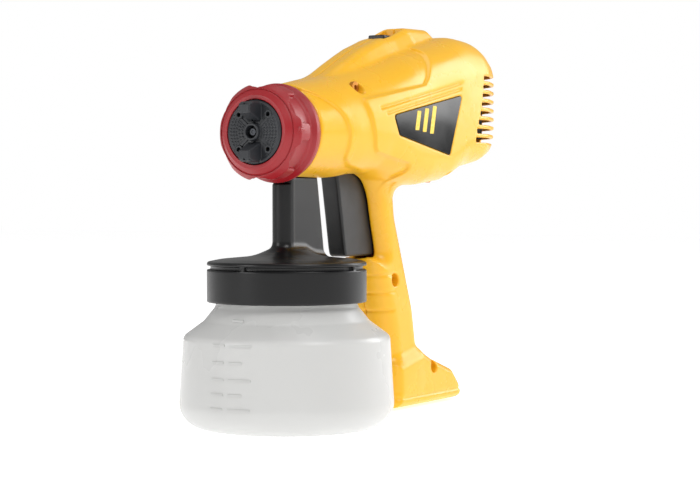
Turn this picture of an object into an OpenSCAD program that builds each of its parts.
// Handheld air-atomising paint sprayer: turbine gun, nozzle head and screw-on paint container.
// Millimetres, +Z up, the nozzle sprays towards -Y.
// The origin is on the standing surface, on the container's axis.

/* [Container] */
// Largest outer diameter of the paint container
container_d = 130; // [128:0.5:132]
// Wall thickness of the paint container
container_wall = 2.2; // [1.8:0.1:2.6]
// Outer diameter of the container's neck
neck_d = 85.6; // [85:0.1:86]
// Height of the container's mouth above its base
mouth_z = 94; // [93.5:0.1:94.2]

/* [Head] */
// Height of the spray axis above the standing surface
axis_z = 176.5; // [176:0.1:177]
// Outer diameter of the union nut at its rear flange
nut_d = 59.4; // [58.6:0.1:60]
// Number of grip lugs on the union nut
nut_lugs = 6; // [4:1:8]
// Thread lead of the union nut
nut_lead = 4; // [3:0.5:5]

/* [Housing] */
// Outer width of the motor housing
body_w = 76; // [75:0.5:77]
// Wall thickness of the housing shells
wall = 2.5; // [2.2:0.1:2.8]
// Width of the grip
grip_w = 32; // [31:0.5:33]
// Width of the foot under the grip
foot_w = 40; // [39:0.5:42]
// Width of the slot for the trigger and the fluid column
slot_w = 14; // [13.8:0.1:14.6]

/* [Drive] */
// Height of the motor shaft above the standing surface
motor_z = 192; // [191.5:0.1:192.5]
// Outer diameter of the turbine wheel
fan_d = 60; // [56:1:61]
// Number of turbine blades
fan_blades = 12; // [8:1:16]

/* [Trigger] */
// Width of the trigger
trigger_w = 13; // [12.6:0.1:13.2]
// Distance of the trigger's pivot behind the container's axis
pivot_y = 62; // [61.8:0.1:62.2]
// Height of the trigger's pivot
pivot_z = 190; // [189.8:0.1:190.2]

/* [Hidden] */

$fn = 96;
fine = 48;
body_half = body_w / 2;
slot_half = slot_w / 2;
nut_r = nut_d / 2;
neck_r = neck_d / 2;
touch = 0.05;

// Fluid column: axis of its round front, half-width, top face, and the step under the nut
column_y = -4;
column_half = 6.5;
column_top = 151;
nut_clear_y = -5.6;
nut_clear_z = 146.3;
// Paint passage through the column
passage_y = -1;
passage_r = 3;
// Slide-button slot on the spine
button_slot = [104, 130];
button_floor = 240;

// Housing screws: distance back, height, and how far out the head's recess opens
screws = [[41.6, 206, 30], [211.5, 232.6, 28], [150.7, 152.2, 22], [104.7, 84.9, 16], [150.5, 25.6, 20]];
screw_shank_r = 1.9;
screw_head_r = 3.7;
boss_r = 5.6;

// ---- Outline tools: a corner is [across, up, radius], listed anticlockwise ----
function unit(v) = v / norm(v);
function left(v) = [-v[1], v[0]];
function flat(p) = [p[0], p[1]];
function turn_of(a, b) = a[0] * b[1] - a[1] * b[0];

// One corner moved inwards by t and rounded
function corner(a, b, c, r, t) =
    let (d1 = unit(b - a), d2 = unit(c - b), n1 = left(d1), n2 = left(d2))
    let (side = turn_of(d1, d2) >= 0 ? 1 : -1)
    let (p = b + t * (n1 + n2) / (1 + n1 * n2))
    let (rr = r == 0 ? 0 : max(r - side * t, 0))
    let (bend = acos(max(-1, min(1, d1 * d2))))
    let (steps = max(2, ceil(bend / 9)))
    rr == 0 ? [p] :
    [for (k = [0:steps])
        let (q = p - d1 * rr * tan(bend / 2), g = side * bend * k / steps)
        q + side * rr * (n1 - [n1[0] * cos(g) - n1[1] * sin(g), n1[0] * sin(g) + n1[1] * cos(g)])];

function outline(keys, t = 0) = let (n = len(keys))
    [for (i = [0:n - 1])
        let (before = flat(keys[(i + n - 1) % n]), after = flat(keys[(i + 1) % n]))
        each corner(before, flat(keys[i]), after, keys[i][2], t)];

// A side outline (back, up) extruded across the object
module across(points, half) {
    rotate([90, 0, 90]) linear_extrude(2 * half, center = true) polygon(points);
}

// A cylinder along Y from y0 to y1 about the line x = 0, z = h
module along(y0, y1, r, h, x = 0) {
    translate([x, y0, h]) rotate([-90, 0, 0]) cylinder(h = y1 - y0, r = r);
}

// A cone along Y
module along_cone(y0, y1, r0, r1, h) {
    translate([0, y0, h]) rotate([-90, 0, 0]) cylinder(h = y1 - y0, r1 = r0, r2 = r1);
}

// A ring along Y
module ring(y0, y1, outer, inner, h) {
    difference() {
        along(y0, y1, outer, h);
        along(y0 - 1, y1 + 1, inner, h);
    }
}

// A cylinder along X
module across_rod(x0, x1, r, y, z) {
    translate([x0, y, z]) rotate([0, 90, 0]) cylinder(h = x1 - x0, r = r, $fn = fine);
}

// A box given by its two corners
module block(low, high) {
    translate(low) cube(high - low);
}

// Side faces of a tube of rings, each ring listed in turn
function tube_faces(rings, sides) = [for (i = [0:rings - 2], k = [0:sides - 1])
    [i * sides + k, (i + 1) * sides + k, (i + 1) * sides + (k + 1) % sides, i * sides + (k + 1) % sides]];

// ---- Coil springs along Y, swept by these functions ----
function coil_point(length, turns, r, u) = [r * cos(360 * turns * u), length * u, r * sin(360 * turns * u)];
function coil_ring(length, turns, r, wire, u, sides) =
    let (a = 360 * turns * u, out = [cos(a), 0, sin(a)], up = [0, 1, 0], c = coil_point(length, turns, r, u))
    [for (k = [0:sides - 1]) c + wire * (out * cos(360 * k / sides) + up * sin(360 * k / sides))];

// A closed tube through rings of points, all rings with the same number of sides
module tube_mesh(points, sides) {
    rings = len(points) / sides;
    start = [for (k = [0:sides - 1]) k];
    end = [for (k = [0:sides - 1]) rings * sides - 1 - k];
    polyhedron(points = points, faces = concat(tube_faces(rings, sides), [start, end]), convexity = 6);
}

module coil(length, turns, r, wire) {
    sides = 8;
    steps = ceil(turns * 14);
    tube_mesh([for (i = [0:steps]) each coil_ring(length, turns, r, wire, i / steps, sides)], sides);
}

// ---- Housing outlines ----
body_side = [[26, 147, 0], [118, 146.5, 0], [150, 150, 30], [172, 158.5, 30], [232, 169.5, 9],
    [235, 242, 18], [215, 245.4, 60], [172, 247.6, 60], [100, 231, 80], [60, 219, 60], [26, 211, 0]];
spine_side = [[26, 190, 0], [166, 190, 0], [166, 248.5, 2], [159, 251.5, 4], [130, 250.5, 20],
    [108, 242.5, 30], [90, 238, 40], [53, 222.8, 40], [26, 209.5, 0]];
body_plan = [[26, -33, 0], [62, -body_half, 30], [196, -body_half, 30], [220, -29.5, 18], [235, -12, 16],
    [235, 12, 16], [220, 29.5, 18], [196, body_half, 30], [62, body_half, 30], [26, 33, 0]];
body_front = [[-body_half, 146, 20], [body_half, 146, 20], [body_half, 250, 27], [-body_half, 250, 27]];
grip_side = [[60, 156, 0], [80, 98, 40], [99, 50, 60], [104, 3, 0], [140, 3, 0], [141.5, 36, 0],
    [135.5, 66, 40], [111.5, 127, 20], [110, 139, 20], [109, 156, 0]];
foot_side = [[101, 0, 1], [189, 0, 3], [196, 5.5, 2], [179, 22, 6], [151, 31, 20], [137, 37, 0],
    [103, 30, 0], [104, 12, 0]];
foot_plan = [[99, -foot_w / 2, 8], [197, -foot_w / 2, 12], [197, foot_w / 2, 12], [99, foot_w / 2, 8]];
// Clear space for the trigger in front of the grip and under the body
trigger_notch = [[30, 101, 0], [91.6, 101, 4], [88.7, 111.4, 30], [85.2, 123.3, 30], [81.7, 137.5, 30],
    [76, 149.5, 6], [66, 152.5, 10], [52, 150.6, 20], [40, 146, 0], [30, 140, 0]];
grip_lean = 18;
grip_mid = [104.3, 90];

module barrel(t) {
    intersection() {
        union() {
            along_cone(-5.5, 29, 29.6 - t, 34 - t, axis_z);
            along_cone(29 - touch, 60, 34 - t, 38 - t, axis_z);
        }
        block([-50, -10, 147 + t], [50, 70, 230]);
    }
}

module grip_column(t) {
    w = grip_w / 2 - t;
    d = 21 - t;
    r = 14 - t;
    translate([0, grip_mid[0], grip_mid[1]]) rotate([grip_lean, 0, 0])
        translate([0, 0, -110]) linear_extrude(200) union() {
            square([2 * w, 2 * (d - r)], center = true);
            square([2 * (w - r), 2 * d], center = true);
            for (sx = [-1, 1], sy = [-1, 1]) translate([sx * (w - r), sy * (d - r)]) circle(r, $fn = fine);
        }
}

// The housing's full form, moved inwards by t
module form(t) {
    difference() {
        solid_form(t);
        across(outline(trigger_notch, -t), 50);
    }
}

module solid_form(t) {
    barrel(t);
    intersection() {
        across(outline(body_side, t), 50);
        translate([0, 0, 100]) rotate([0, 0, 90]) mirror([0, 1, 0])
            linear_extrude(200) polygon(outline(body_plan, t));
        translate([0, 260, 0]) rotate([90, 0, 0]) linear_extrude(240) polygon(outline(body_front, t));
        // The block grows out of the round barrel
        union() {
            along_cone(20, 100, 31 - t, 62 - t, 183);
            block([-50, 100 - touch, 130], [50, 250, 260]);
        }
    }
    across(outline(spine_side, t), 12.5 - t);
    intersection() {
        across(outline(grip_side, t), grip_w / 2);
        grip_column(t);
    }
    intersection() {
        across(outline(foot_side, t), foot_w / 2 - t);
        rotate([0, 0, 90]) mirror([0, 1, 0]) linear_extrude(60) polygon(outline(foot_plan, t));
    }
}

// Air inlet slots at the rear corner of one side
module vents(sx) {
    starts = [176.5, 178, 180.5, 183, 185, 186.2, 187, 187.8];
    for (i = [0:7]) {
        z0 = 175.9 + 6 * i;
        block([sx > 0 ? 30 : -45, starts[i], z0], [sx > 0 ? 45 : -30, 202, z0 + 3.4]);
        block([sx > 0 ? 14 : -45, 200, z0], [sx > 0 ? 45 : -14, 240, z0 + 3.4]);
    }
}

// Ribs that locate the drive and the fluid head
module ribs() {
    for (y = [151, 187]) difference() {
        block([-40, y, 150], [40, y + 4, 236]);
        along(y - 1, y + 5, 26.1, motor_z);
    }
    difference() {
        block([-40, 124, 147], [40, 127, 227]);
        along(123, 128, 33.6, motor_z);
    }
    difference() {
        block([-40, -5.5, 140], [40, -1.5, 215]);
        along(-6.5, -0.5, 24.1, axis_z);
    }
    difference() {
        block([-40, 12, 140], [40, 15, 215]);
        along(11, 16, 24.1, axis_z);
    }
}

module shell(sx) {
    intersection() {
        if (sx > 0) block([0, -20, -5], [60, 260, 270]);
        else block([-60, -20, -5], [0, 260, 270]);
        difference() {
            union() {
                difference() {
                    form(0);
                    form(wall);
                }
                intersection() {
                    form(0.2);
                    union() {
                        ribs();
                        for (s = screws) across_rod(-40, 40, boss_r, s[0], s[1]);
                        for (side = [-1, 1]) {
                            across_rod(side > 0 ? 7.4 : -40, side > 0 ? 40 : -7.4, 5, pivot_y, pivot_z);
                            block([side > 0 ? 10 : -40, 81, 186], [side > 0 ? 40 : -10, 86, 194]);
                        }
                        // Floor and end walls of the slide-button slot
                        block([-8.5, button_slot[0] - 2, button_floor - 2], [8.5, button_slot[1] + 2, 250]);
                    }
                }
            }
            // Slide-button slot and the opening through its floor
            block([-6.7, button_slot[0], button_floor], [6.7, button_slot[1], 260]);
            block([-2.3, 108, button_floor - 5], [2.3, 127, button_floor + 1]);
            // Opening for the fluid column, and the trigger's slot
            block([-slot_half, -11.2, 140], [slot_half, 34, 154]);
            block([-slot_half, 34, 140], [slot_half, 79, 158]);
            block([-slot_half, 50, 99.5], [slot_half, 97, 158]);
            // Screws
            for (s = screws) {
                across_rod(-12, 1, screw_shank_r + 0.1, s[0], s[1]);
                across_rod(-1, 50, screw_shank_r + 0.3, s[0], s[1]);
                across_rod(s[2] - 9, 50, screw_head_r + 0.5, s[0], s[1]);
            }
            // Pivot pin
            across_rod(-12.5, 12.5, 2.02, pivot_y, pivot_z);
            vents(1);
            vents(-1);
            // Cable gland
            along(170, 210, 6.02, 11.5);
            // Recesses for the badges
            badge_plate(1, 0.4);
            badge_plate(-1, 0.4);
            // Seat of the nozzle head
            along(-20, 30, 24.1, axis_z);
        }
    }
}

// Each shell is one moulding, drawn as its motor body, its grip and its foot, which meet at these heights
split_z = 146;
foot_z = 38;
module shell_body(sx) {
    color("gold") intersection() {
        shell(sx);
        block([-60, -20, split_z], [60, 260, 270]);
    }
}
module shell_grip(sx) {
    color("gold") intersection() {
        shell(sx);
        block([-60, -20, foot_z], [60, 260, split_z]);
    }
}
module shell_foot(sx) {
    color("gold") intersection() {
        shell(sx);
        block([-60, -20, -5], [60, 260, foot_z]);
    }
}

module housing_left() { shell_body(-1); }
module housing_right() { shell_body(1); }
module grip_left() { shell_grip(-1); }
module grip_right() { shell_grip(1); }
module foot_left() { shell_foot(-1); }
module foot_right() { shell_foot(1); }

module housing_screws() {
    color("dimgray") for (s = screws) difference() {
        union() {
            across_rod(-10, s[2] - 9 + touch, screw_shank_r, s[0], s[1]);
            across_rod(s[2] - 9, s[2] - 6.6, screw_head_r, s[0], s[1]);
        }
        translate([s[2] - 8, s[0], s[1]]) rotate([0, 90, 0]) cylinder(h = 5, r = 1.7, $fn = 6);
    }
}

// Badge outline: a long, slanted four-sided plate
badge_keys = [[72, 177.6, 1.5], [138.6, 166.5, 1.5], [155.5, 206.2, 1.5], [65.5, 189.5, 1.5]];
badge_x = body_half - 1.2;
module badge_plate(sx, grow) {
    intersection() {
        translate([sx * (badge_x + 5 - grow / 2), 0, 0])
            across(outline(badge_keys, -grow), 5 + grow / 2);
        block([-body_half + (grow > 0 ? -9 : 0), 0, 0], [body_half + (grow > 0 ? 9 : 0), 300, 300]);
    }
}
module badge_left() { color("black") badge_plate(-1, 0); }
module badge_right() { color("black") badge_plate(1, 0); }

// ---- Nozzle head ----
air_holes = 6;
module nozzle_body() {
    color("dimgray") difference() {
        union() {
            // Thread for the union nut, as plain collars at its lead
            for (y = [-27:nut_lead:-13]) along(y, y + nut_lead / 2, 25, axis_z);
            along(-27, 25, 24, axis_z);
            block([-column_half, nut_clear_y, column_top], [column_half, 25, axis_z - 10]);
        }
        along(-28, -19, 5, axis_z);
        along(-20, 8, 4, axis_z);
        along(7, 26, 3, axis_z);
        translate([0, passage_y, column_top - 1]) cylinder(h = axis_z - column_top + 1, r = passage_r);
        for (k = [0:air_holes - 1]) rotate_about_axis(30 + 360 * k / air_holes)
            along(-28, 26, 2.6, axis_z + 15);
    }
}

module rotate_about_axis(a) {
    translate([0, 0, axis_z]) rotate([0, a, 0]) translate([0, 0, -axis_z]) children();
}

module nozzle() {
    color("silver") difference() {
        union() {
            along(-36.4, -32, 2, axis_z);
            along_cone(-32.6, -30, 3.6, 5.6, axis_z);
            along(-31, -27.8, 7.5, axis_z);
            along(-28, -19.5, 4.95, axis_z);
        }
        along(-40, -30, 0.95, axis_z);
        along_cone(-36.5, -33, 0.9, 1.6, axis_z);
        along_cone(-33, -30, 1.6, 2.6, axis_z);
        along(-30, -19, 2.6, axis_z);
    }
}

module nozzle_seal() { color("black") ring(-27.75, -27.02, 7.2, 5.1, axis_z); }
module air_cap_seal() { color("black") ring(-28.4, -27.02, 23, 19.5, axis_z); }
module needle_packing() { color("white") ring(10, 20, 2.98, 1.55, axis_z); }

module needle_guide() {
    color("dimgray") difference() {
        block([-9.9, 81, axis_z - 8.5], [9.9, 86, axis_z + 18]);
        along(80, 87, 2.05, axis_z);
    }
}

module slip_ring() { color("white") ring(-32, -31.2, 22.8, 19.4, axis_z); }

// Closed line of the nut in [radius, distance back]
module nut_shell() {
    translate([0, 0, axis_z]) rotate([-90, 0, 0]) rotate_extrude()
        polygon([[19.3, -35], [22, -35], [25.4, -32], [27, -28], [27, -15], [nut_r, -12.5],
            [nut_r, -10.5], [28, -6], [25.1, -6], [25.1, -28.2], [23.1, -28.2], [23.1, -32.2], [19.3, -32.2]]);
}

module nut_lug(a, half, y0, y1, r0, r1) {
    translate([0, 0, axis_z]) rotate([-90, 0, 0]) rotate([0, 0, a - half]) rotate_extrude(angle = 2 * half)
        polygon([[25.45, y0], [r0, y0], [r1, y0 + 3], [r1, y1], [25.45, y1]]);
}

module union_nut() {
    color("firebrick") {
        nut_shell();
        for (k = [0:nut_lugs - 1]) {
            nut_lug(360 * k / nut_lugs, 18, -30.5, -21.5, 27.4, 29);
            nut_lug(360 * k / nut_lugs, 10, -26, -11.3, 28, 28.8);
        }
        // Small raised mark on one lug
        across_rod(27.5, 29.5, 1, -26, axis_z);
    }
}

module horn(a) {
    rotate_about_axis(a) difference() {
        intersection() {
            across([[-46, axis_z + 11], [-46, axis_z + 16], [-43, axis_z + 17.6], [-32, axis_z + 17.6],
                [-32, axis_z + 6], [-36, axis_z + 6.5]], 4);
            along(-50, -30, 18.6, axis_z);
        }
        translate([0, -42, axis_z + 13]) rotate([135, 0, 0]) translate([0, 0, -4])
            cylinder(h = 14, r = 0.7, $fn = 24);
    }
}

module air_cap() {
    color("#222222") {
        difference() {
            union() {
                along(-35.4, -30, 18.8, axis_z);
                along(-31, -28.6, 22.6, axis_z);
                along(-36.8, -35, 5.2, axis_z);
                for (a = [45, 135, 225, 315]) rotate_about_axis(a) along(-36.2, -35, 2.2, axis_z + 14.5);
                block([-7, -36.2, axis_z - 6], [7, -35, axis_z + 6]);
            }
            along(-40, -28, 3.7, axis_z);
            along(-33, -28, 16, axis_z);
            for (a = [45, 135, 225, 315]) rotate_about_axis(a) along(-40, -30, 1.2, axis_z + 14.5);
        }
        horn(0);
        horn(180);
    }
}

// ---- Lid, column and container ----
lid_r = 48.2;
module container_lid() {
    color("#242424") difference() {
        union() {
            rotate_extrude() polygon([[0, 90], [8, 95.7], [45.2, 95.7], [45.2, 75.3], [lid_r, 75.3],
                [lid_r, 95], [46, 95], [46, 97.3], [lid_r, 97.3], [lid_r, 99.4], [47.6, 100], [24, 102],
                [12, 106.5], [0, 108]]);
            for (a = [0:90:270]) rotate([0, 0, a]) block([45.8, -1.5, 94.8], [lid_r - 0.4, 1.5, 97.6]);
            translate([0, column_y, 82]) cylinder(h = 16, r = 8);
            translate([0, column_y, 97]) cylinder(h = column_top - 97, r = column_half);
            across([[column_y, 97], [35, 97], [33, 107], [26, 147], [25, column_top],
                [column_y, column_top]], column_half);
        }
        block([-10, -20, nut_clear_z], [10, nut_clear_y, 160]);
        translate([0, passage_y, 90]) cylinder(h = 70, r = passage_r);
        translate([0, column_y, 80]) cylinder(h = 16, r = 4.05);
        translate([0, 22, 88]) cylinder(h = 58, r = 1.5);
    }
}

module tube_seal() {
    color("black") translate([0, column_y, 78.4]) difference() {
        cylinder(h = 3.5, r = 6.6);
        translate([0, 0, -1]) cylinder(h = 6, r = 4.06);
    }
}

module vent_valve() {
    color("black") translate([0, 22, 91.2]) difference() {
        cylinder(h = 4.4, r = 5);
        translate([0, 0, -1]) cylinder(h = 4, r = 3.4);
    }
}

// The feed tube hangs from the lid and its foot bends towards the front
tube_bend_z = 35;
tube_bend_r = 16;
tube_bend = 50;
tube_foot = 22;
// Stations along the tube's middle: [back, up, lean towards the front]
function tube_run(spare) = concat([[0, 95 + spare, 0]],
    [for (g = [0:10:tube_bend]) [tube_bend_r * (cos(g) - 1), tube_bend_z - tube_bend_r * sin(g), g]],
    [let (l = tube_foot + spare) [tube_bend_r * (cos(tube_bend) - 1) - l * sin(tube_bend),
        tube_bend_z - tube_bend_r * sin(tube_bend) - l * cos(tube_bend), tube_bend]]);
module tube_core(r, spare) {
    sides = 24;
    tube_mesh([for (s = tube_run(spare), k = [0:sides - 1]) let (q = -360 * k / sides)
        [r * cos(q), s[0] + r * sin(q) * cos(s[2]), s[1] - r * sin(q) * sin(s[2])]], sides);
}
module feed_tube() {
    color("gainsboro") translate([0, column_y, 0]) difference() {
        tube_core(4, 0);
        tube_core(2.8, 1);
    }
}

module container_gasket() {
    color("black") difference() {
        translate([0, 0, mouth_z + 0.05]) cylinder(h = 1.6, r = 44.6);
        translate([0, 0, mouth_z - 1]) cylinder(h = 5, r = 39);
    }
}

// Turned outline of the container: the wall leans in from its base corner, so before rounding that
// corner lies outside the largest radius by this much
base_spread = 0.8;
base_round = 15;
base_edge_r = container_d / 2 + base_spread;
function container_keys(top) = [[-60, 0, 0], [base_edge_r, 0, base_round], [62.3, 55, 5], [50, 64, 9],
    [neck_r, 73, 5], [neck_r, top, 0], [-60, top, 0]];
floor_r = base_edge_r - base_round;
wall_top = 52;
shoulder_top = 76;

module revolved(points) {
    rotate_extrude() intersection() {
        polygon(points);
        square([100, 200]);
    }
}

module container_shell() {
    difference() {
        revolved(outline(container_keys(mouth_z)));
        revolved(outline(container_keys(mouth_z + 20), container_wall));
    }
}

// The container is one moulding, drawn as its floor, wall, shoulder and neck
module container_floor() { color("whitesmoke") cylinder(h = container_wall, r = floor_r); }

module container_wall_ring() {
    color("whitesmoke") difference() {
        container_shell();
        translate([0, 0, -1]) cylinder(h = container_wall + 2, r = floor_r);
        translate([0, 0, wall_top]) cylinder(h = mouth_z, r = container_d);
    }
}

module container_shoulder() {
    color("whitesmoke") difference() {
        container_shell();
        translate([0, 0, -1]) cylinder(h = wall_top + 1, r = container_d);
        translate([0, 0, shoulder_top]) cylinder(h = mouth_z, r = container_d);
    }
}

module container_neck() {
    color("whitesmoke") {
        difference() {
            container_shell();
            translate([0, 0, -1]) cylinder(h = shoulder_top + 1, r = container_d);
        }
        // Thread bead on the neck
        difference() {
            translate([0, 0, 79]) cylinder(h = 4, r = 44.8);
            translate([0, 0, 78]) cylinder(h = 6, r = neck_r - 0.5);
        }
    }
}

// ---- Trigger and needle ----
trigger_body = [[44, 192, 0], [44, 168, 6], [48.8, 147, 30], [52.8, 127, 40], [56.8, 106, 10], [58.5, 101, 3],
    [92.5, 101, 3], [94, 105, 3], [86, 137, 30], [79, 150, 8], [68, 166, 3], [51.2, 169, 0], [51.2, 180, 0],
    [54, 184, 0], [62, 184, 0], [62, 196.4, 0], [50, 196.4, 4]];

module trigger() {
    half = trigger_w / 2 - 0.1;
    color("#262626") difference() {
        union() {
            across(outline(trigger_body), half);
            across_rod(-half, half, 6.4, pivot_y, pivot_z);
            across_rod(-half, half, 2.8, 50.9, axis_z);
        }
        // The needle passes between two arms
        block([-2.7, 40, 169], [2.7, 70, 186]);
        across_rod(-10, 10, 2.05, pivot_y, pivot_z);
        // Hollow behind the finger face, and the spring's seat
        block([-4.2, 66, 107], [4.2, 100, 124]);
        block([-4.8, 79, 126.8], [4.8, 95, 142.5]);
    }
}

module trigger_pin() { color("silver") across_rod(-12, 12, 2, pivot_y, pivot_z); }

module trigger_spring() {
    color("silver") translate([0, 79.6, 137]) coil(27.3, 7, 4, 0.5);
}

module needle() {
    color("silver") {
        along(-36.2, -35.8, 0.8, axis_z);
        along_cone(-35.8 - touch, -33.4, 0.8, 1.5, axis_z);
        along(-33.4 - touch, 54.4, 1.5, axis_z);
        along(54.3, 58.5, 4.8, axis_z);
        along(58.4, 92, 2, axis_z);
    }
}

module needle_spring() {
    color("silver") translate([0, 59.3, axis_z]) coil(20.9, 6, 3.4, 0.5);
}

module trigger_switch() {
    color("#303030") difference() {
        block([-8, 94.6, axis_z - 9], [8, 107, axis_z + 9]);
        along(94, 103, 2.6, axis_z);
    }
}

module switch_plunger() { color("firebrick") along(92.2, 98, 2.5, axis_z); }

module slide_switch() {
    color("#303030") difference() {
        block([-6, 107, 228.5], [6, 128.5, 237.5]);
        block([-2.2, 108.5, 233.5], [2.2, 127, 238]);
    }
}

module slide_button() {
    color("#1c1c1c") {
        difference() {
            block([-6, 106.6, button_floor + 0.2], [6, 118.6, 244.4]);
            for (k = [0:2]) block([-7, 109.2 + 2.6 * k, 243.6], [7, 110.2 + 2.6 * k, 245]);
        }
        block([-1.9, 110.5, 233.8], [1.9, 115.5, button_floor + 0.5]);
    }
}

// ---- Drive ----
fan_r = fan_d / 2;
module turbine_housing() {
    color("#3a3a3a") difference() {
        along(110, 144, 33.5, motor_z);
        along(112, 142, 31.6, motor_z);
        along(141, 145, 14, motor_z);
        for (sx = [-1, 1]) block([sx > 0 ? 13.4 : -20.6, 109, 172.4], [sx > 0 ? 20.6 : -13.4, 113, 181.6]);
    }
}

module air_duct() {
    color("#3a3a3a") difference() {
        union() {
            ring(25.2, 34, 23.8, 9.5, axis_z);
            for (sx = [-1, 1]) block([sx > 0 ? 12 : -22, 33.8, 171], [sx > 0 ? 22 : -12, 109.9, 183]);
        }
        ring(24, 32.5, 22.3, 11, axis_z);
        for (sx = [-1, 1]) block([sx > 0 ? 13.4 : -20.6, 30, 172.4], [sx > 0 ? 20.6 : -13.4, 111, 181.6]);
    }
}

module motor_can() {
    color("silver") difference() {
        along(145, 196, 22, motor_z);
        along(148, 197, 20.4, motor_z);
        along(144, 149, 8, motor_z);
    }
}

module motor_end_bell() {
    color("#404040") difference() {
        along(196, 206, 22, motor_z);
        along(195, 203, 19, motor_z);
        along(202, 207, 8, motor_z);
    }
}

module motor_magnets() {
    color("gray") for (sx = [-1, 1]) intersection() {
        ring(152, 192, 20.35, 16.6, motor_z);
        block([sx > 0 ? 6 : -30, 150, 150], [sx > 0 ? 30 : -6, 195, 230]);
    }
}

module motor_brushes() {
    color("#202020") for (sx = [-1, 1])
        block([sx > 0 ? 7.2 : -18, 196.5, motor_z - 2], [sx > 0 ? 18 : -7.2, 201, motor_z + 2]);
}

module motor_mounts() { color("black") for (y = [150, 186]) ring(y, y + 6, 26, 22.05, motor_z); }

module shaft_bearings() {
    color("silver") {
        ring(145.1, 148, 7.95, 3.04, motor_z);
        ring(203.1, 206, 7.95, 3.04, motor_z);
    }
}

module rotor_shaft() { color("silver") along(115, 207, 3, motor_z); }
module armature() { color("#8a5a2c") ring(154, 190, 15.5, 3.02, motor_z); }
module commutator() { color("peru") ring(195, 202, 7, 3.02, motor_z); }

module fan_wheel() {
    color("silver") {
        ring(134, 136, fan_r, 3.02, motor_z);
        ring(122, 134 + touch, 6, 3.02, motor_z);
        for (k = [0:fan_blades - 1]) translate([0, 0, motor_z]) rotate([0, 360 * k / fan_blades, 0])
            block([5.5, 124, -0.7], [fan_r - 0.6, 134 + touch, 0.7]);
    }
}

module fan_nut() {
    color("silver") difference() {
        translate([0, 118, motor_z]) rotate([-90, 0, 0]) cylinder(h = 3.9, r = 5, $fn = 6);
        along(117, 123, 3.02, motor_z);
    }
}

module intake_filter() { color("#555555") block([-18, 216, 180], [18, 223.5, 222]); }

// ---- Cable entry ----
gland_z = 11.5;
module cord_gland() {
    color("black") difference() {
        union() {
            along(168, 184, 6, gland_z);
            along(165.5, 168.5, 7.6, gland_z);
        }
        along(164, 190, 3.6, gland_z);
    }
}

module cord_clamp() {
    color("#303030") difference() {
        block([-13, 132, 5], [13, 142, 9]);
        for (sx = [-1, 1]) translate([sx * 9, 137, 0]) cylinder(h = 20, r = 1.8, $fn = fine);
    }
}

module cord_clamp_screws() {
    color("silver") for (sx = [-1, 1]) translate([sx * 9, 137, 0]) {
        translate([0, 0, 3]) cylinder(h = 6.2, r = 1.7, $fn = fine);
        translate([0, 0, 9.1]) cylinder(h = 2.2, r = 3, $fn = fine);
    }
}

// Two leads from the cable clamp up the grip to the trigger's switch, passing beside the trigger.
// Stations of a lead: [back, up, out from the middle]
lead_route = [[131, 14, 7.2], [125, 36, 7.2], [117, 70, 9.6], [105, 110, 9.6], [98, 150, 9],
    [99, 167.4, 6.6]];
lead_r = 1.1;
module lead(sx) {
    sides = 10;
    tube_mesh([for (p = lead_route, k = [0:sides - 1])
        [sx * p[2] + lead_r * cos(360 * k / sides), p[0] + lead_r * sin(360 * k / sides), p[1]]], sides);
}

module wiring() {
    color("brown") lead(1);
    color("blue") lead(-1);
}

housing_left();
housing_right();
grip_left();
grip_right();
foot_left();
foot_right();
housing_screws();
badge_left();
badge_right();
nozzle_body();
nozzle();
nozzle_seal();
air_cap_seal();
needle_packing();
needle_guide();
container_lid();
tube_seal();
vent_valve();
feed_tube();
slip_ring();
union_nut();
air_cap();
container_gasket();
container_floor();
container_wall_ring();
container_shoulder();
container_neck();
trigger();
trigger_pin();
trigger_spring();
needle();
needle_spring();
trigger_switch();
switch_plunger();
slide_switch();
slide_button();
turbine_housing();
air_duct();
motor_can();
motor_end_bell();
motor_magnets();
motor_brushes();
motor_mounts();
shaft_bearings();
rotor_shaft();
armature();
commutator();
fan_wheel();
fan_nut();
intake_filter();
cord_gland();
cord_clamp();
cord_clamp_screws();
wiring();
